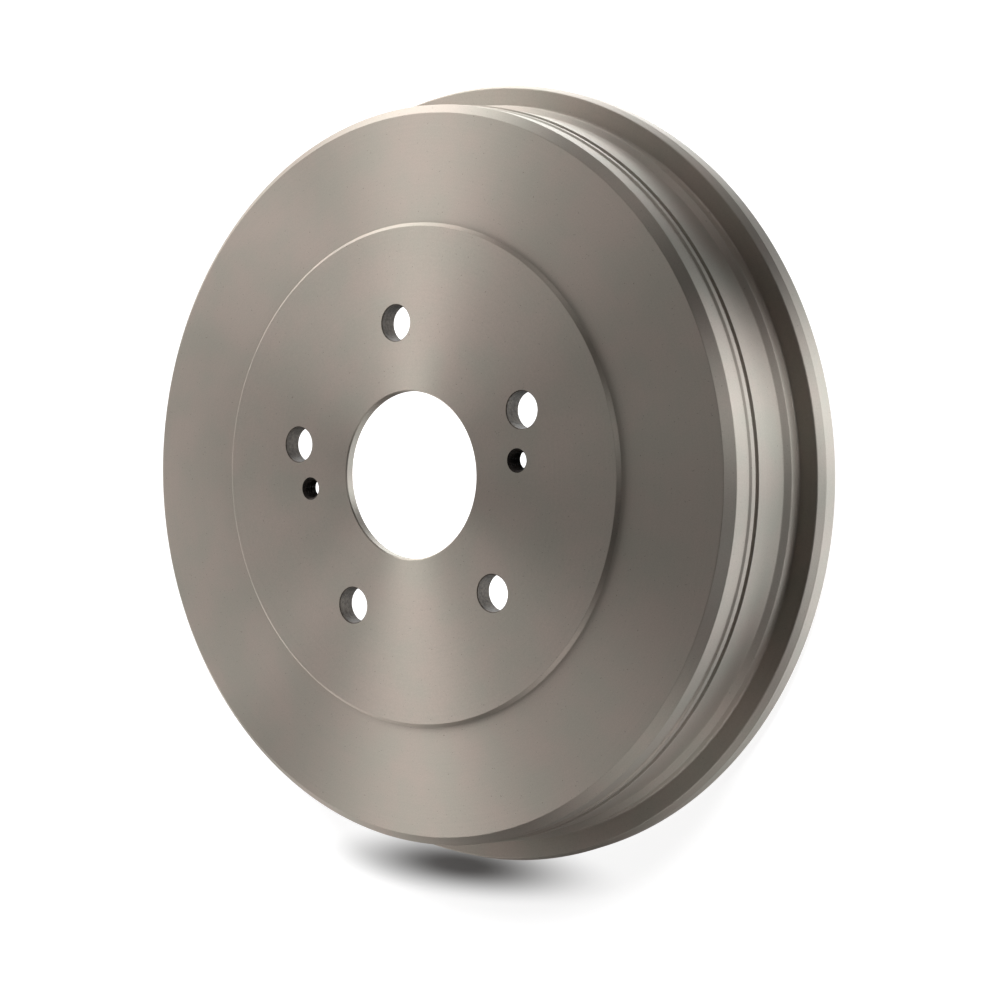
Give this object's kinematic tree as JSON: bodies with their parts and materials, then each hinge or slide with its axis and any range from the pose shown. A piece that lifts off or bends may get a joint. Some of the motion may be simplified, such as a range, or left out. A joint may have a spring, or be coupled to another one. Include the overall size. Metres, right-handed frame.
{
  "type": "brake drum",
  "caption": "Shallow cast brake drum with a raised wheel pad, central bore, stud holes, threaded puller holes, beaded wall and flanged open rim.",
  "frame": {"origin": "centre of the open rim's plane, on the drum's axis", "axes": "+Z along the drum's axis from the open rim to the hub face; +X through the first stud hole"},
  "size_m": [0.2994, 0.2994, 0.0503],
  "materials": {
    "turned_cast_iron": "turned, satin"
  },
  "bodies": {
    "root": {"brake_drum": "turned_cast_iron"}
  },
  "joints": []
}
